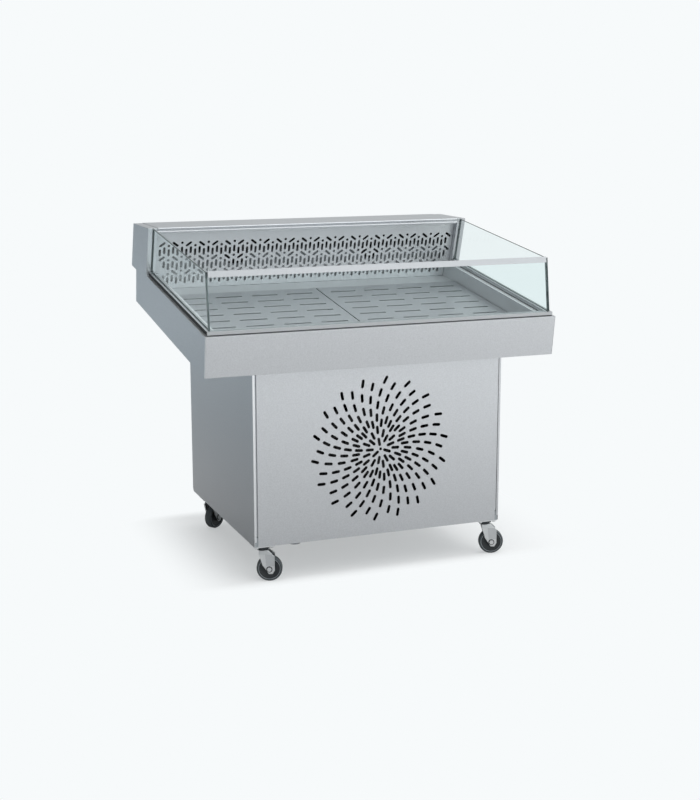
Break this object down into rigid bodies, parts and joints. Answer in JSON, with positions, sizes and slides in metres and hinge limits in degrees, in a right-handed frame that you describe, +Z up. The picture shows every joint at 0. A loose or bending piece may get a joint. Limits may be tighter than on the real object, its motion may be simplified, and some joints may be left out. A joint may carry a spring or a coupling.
{
  "type": "fish display case",
  "caption": "Refrigerated serve-over case for fish: sloping basin with glass on three sides, slotted air panel, vented stainless cabinet and swivel casters.",
  "frame": {"origin": "centre of the overall footprint, on the floor", "axes": "+X to the right seen from the customer side, +Y towards the staff side, +Z up"},
  "size_m": [1.15, 0.92, 1.048],
  "materials": {
    "brushed_stainless": "fine brushed, satin",
    "satin_aluminium": "satin anodised",
    "toughened_glass": "polished, clear",
    "black_rubber": "matt",
    "foam": "matt foam",
    "copper": "drawn tube",
    "fin_aluminium": "mill",
    "black_paint": "semi-gloss enamel",
    "plastic": "moulded, fine grain",
    "grey_plastic": "moulded",
    "galvanised_steel": "galvanised, dull",
    "zinc_steel": "bright zinc plated",
    "wheel_plastic": "moulded",
    "tyre_rubber": "matt"
  },
  "bodies": {
    "case": {"air_panel": "brushed_stainless", "base_pan": "galvanised_steel", "carcass_frame": "galvanised_steel", "caster_plates": "zinc_steel", "compressor": "black_paint", "condenser_coil": "black_paint", "condenser_fan_motor": "black_paint", "condenser_shroud": "black_paint", "control_housing": "plastic", "discharge_line": "copper", "drain_outlet": "brushed_stainless", "drain_pipe": "grey_plastic", "drip_tray": "galvanised_steel", "electrical_box": "grey_plastic", "evap_fan_motors": "black_paint", "evaporator_coil": "fin_aluminium", "fan_plate": "black_paint", "filter_drier": "copper", "front_glass": "toughened_glass", "front_panel": "brushed_stainless", "front_top_profile": "satin_aluminium", "glass_joints": "black_rubber", "glass_rail": "satin_aluminium", "left_end_panel": "brushed_stainless", "left_glass": "toughened_glass", "left_side_panel": "brushed_stainless", "liquid_line": "copper", "rail_gasket": "black_rubber", "rear_cover": "brushed_stainless", "rear_panel": "brushed_stainless", "right_end_panel": "brushed_stainless", "right_glass": "toughened_glass", "right_side_panel": "brushed_stainless", "suction_line": "copper", "top_cover": "brushed_stainless", "tub_insulation": "foam", "tub_liner": "brushed_stainless", "tub_shell": "brushed_stainless", "unit_base": "galvanised_steel"},
    "front_left_swivel": {"front_left_fork": "zinc_steel"},
    "front_left_roller": {"front_left_wheel": "wheel_plastic", "front_left_tyre": "tyre_rubber"},
    "front_right_swivel": {"front_right_fork": "zinc_steel"},
    "front_right_roller": {"front_right_wheel": "wheel_plastic", "front_right_tyre": "tyre_rubber"},
    "rear_left_swivel": {"rear_left_fork": "zinc_steel"},
    "rear_left_roller": {"rear_left_wheel": "wheel_plastic", "rear_left_tyre": "tyre_rubber"},
    "rear_right_swivel": {"rear_right_fork": "zinc_steel"},
    "rear_right_roller": {"rear_right_wheel": "wheel_plastic", "rear_right_tyre": "tyre_rubber"},
    "condenser_rotor": {"condenser_fan": "plastic"},
    "left_evap_rotor": {"left_evap_fan": "plastic"},
    "right_evap_rotor": {"right_evap_fan": "plastic"},
    "left_tray": {"left_deck_tray": "brushed_stainless"},
    "right_tray": {"right_deck_tray": "brushed_stainless"},
    "upper_key_cap": {"upper_key": "plastic"},
    "lower_key_cap": {"lower_key": "plastic"},
    "rocker": {"switch_rocker": "plastic"}
  },
  "joints": [
    {"name": "front_left_swivel_turn", "type": "hinge", "parent": "case", "child": "front_left_swivel", "pos_m": [-0.382, -0.371, 0.1], "axis": [0, 0, 1], "continuous": true},
    {"name": "front_left_wheel_roll", "type": "hinge", "parent": "front_left_swivel", "child": "front_left_roller", "pos_m": [-0.36146, -0.37888, 0.04], "axis": [0.3584, 0.9336, 0], "continuous": true},
    {"name": "front_right_swivel_turn", "type": "hinge", "parent": "case", "child": "front_right_swivel", "pos_m": [0.382, -0.371, 0.1], "axis": [0, 0, 1], "continuous": true},
    {"name": "front_right_wheel_roll", "type": "hinge", "parent": "front_right_swivel", "child": "front_right_roller", "pos_m": [0.4028, -0.37816, 0.04], "axis": [0.3256, 0.9455, 0], "continuous": true},
    {"name": "rear_left_swivel_turn", "type": "hinge", "parent": "case", "child": "rear_left_swivel", "pos_m": [-0.382, 0.212, 0.1], "axis": [0, 0, 1], "continuous": true},
    {"name": "rear_left_wheel_roll", "type": "hinge", "parent": "rear_left_swivel", "child": "rear_left_roller", "pos_m": [-0.3642, 0.22493, 0.04], "axis": [-0.5878, 0.809, 0], "continuous": true},
    {"name": "rear_right_swivel_turn", "type": "hinge", "parent": "case", "child": "rear_right_swivel", "pos_m": [0.382, 0.212, 0.1], "axis": [0, 0, 1], "continuous": true},
    {"name": "rear_right_wheel_roll", "type": "hinge", "parent": "rear_right_swivel", "child": "rear_right_roller", "pos_m": [0.4021, 0.22095, 0.04], "axis": [-0.4067, 0.9135, 0], "continuous": true},
    {"name": "condenser_fan_spin", "type": "hinge", "parent": "case", "child": "condenser_rotor", "pos_m": [0, -0.247, 0.331], "axis": [0, 1, 0], "continuous": true},
    {"name": "left_evap_fan_spin", "type": "hinge", "parent": "case", "child": "left_evap_rotor", "pos_m": [-0.25, 0.28855, 0.96749], "axis": [0, 0.9563, 0.2924], "continuous": true},
    {"name": "right_evap_fan_spin", "type": "hinge", "parent": "case", "child": "right_evap_rotor", "pos_m": [0.25, 0.28855, 0.96749], "axis": [0, 0.9563, 0.2924], "continuous": true},
    {"name": "left_tray_lift", "type": "slide", "parent": "case", "child": "left_tray", "axis": [0, 0, 1], "range_m": [0, 0.2]},
    {"name": "right_tray_lift", "type": "slide", "parent": "case", "child": "right_tray", "axis": [0, 0, 1], "range_m": [0, 0.2]},
    {"name": "upper_key_press", "type": "slide", "parent": "case", "child": "upper_key_cap", "axis": [0, -0.9563, -0.2924], "range_m": [0, 0.001], "stiffness_N_per_m": 400},
    {"name": "lower_key_press", "type": "slide", "parent": "case", "child": "lower_key_cap", "axis": [0, -0.9563, -0.2924], "range_m": [0, 0.001], "stiffness_N_per_m": 400},
    {"name": "switch_rocker_tip", "type": "hinge", "parent": "case", "child": "rocker", "pos_m": [0.454, 0.43057, 0.99948], "axis": [1, 0, 0], "range_deg": [0, 16]}
  ]
}
